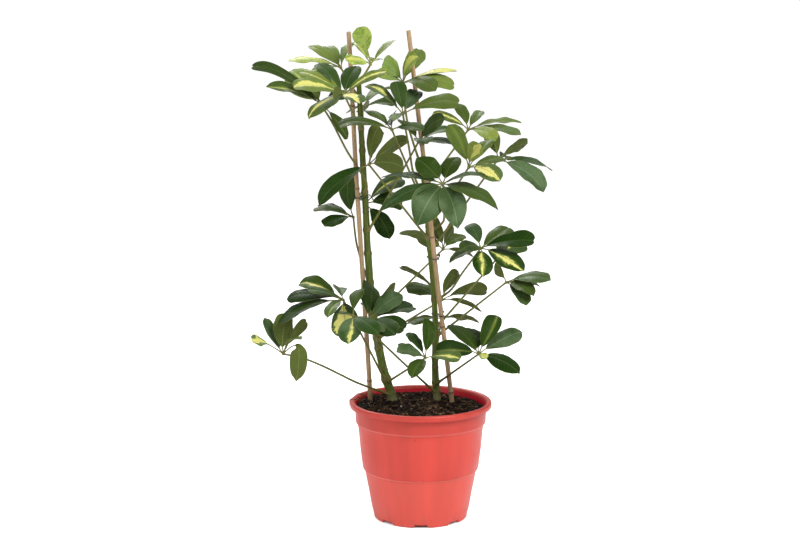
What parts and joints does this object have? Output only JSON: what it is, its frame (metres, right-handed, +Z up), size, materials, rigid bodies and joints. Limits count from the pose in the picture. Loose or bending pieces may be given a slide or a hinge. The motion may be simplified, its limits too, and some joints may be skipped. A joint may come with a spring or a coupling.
{
  "type": "potted umbrella plant",
  "caption": "A variegated umbrella tree in a round plastic pot: slim stems tied to canes carry compound leaves of oval leaflets on long stalks",
  "frame": {"origin": "The middle of the pot's underside, on the surface it stands on", "axes": "+Z up the plant, -Y towards the front of the plant, +X to its right seen from the front"},
  "size_m": [0.394, 0.3002, 0.655],
  "materials": {
    "pot": "satin coral red moulded plastic",
    "soil": "dark crumbly potting compost with bark fibres",
    "cane": "dry bamboo, satin, with faint joints",
    "stem": "green bark, browner at the joints and at the base",
    "tie": "dark plastic-coated wire",
    "leaf": "waxy dark green with yellow flashes, paler below"
  },
  "bodies": {
    "root": {"pot": "pot", "soil": "soil", "left_cane": "cane", "right_cane": "cane", "left_stem": "stem", "right_stem": "stem", "left_tie_low": "tie", "left_tie_high": "tie", "right_tie_low": "tie", "right_tie_high": "tie", "left_leaf_01": "leaf", "left_leaf_02": "leaf", "left_leaf_03": "leaf", "left_leaf_04": "leaf", "left_leaf_05": "leaf", "left_leaf_06": "leaf", "left_leaf_07": "leaf", "left_leaf_08": "leaf", "left_leaf_09": "leaf", "left_leaf_10": "leaf", "left_leaf_11": "leaf", "left_leaf_12": "leaf", "left_leaf_13": "leaf", "left_leaf_14": "leaf", "right_leaf_01": "leaf", "right_leaf_02": "leaf", "right_leaf_03": "leaf", "right_leaf_04": "leaf", "right_leaf_05": "leaf", "right_leaf_06": "leaf", "right_leaf_07": "leaf", "right_leaf_08": "leaf", "right_leaf_09": "leaf", "right_leaf_10": "leaf", "right_leaf_11": "leaf", "right_leaf_12": "leaf", "right_leaf_13": "leaf", "right_leaf_14": "leaf"}
  },
  "joints": []
}
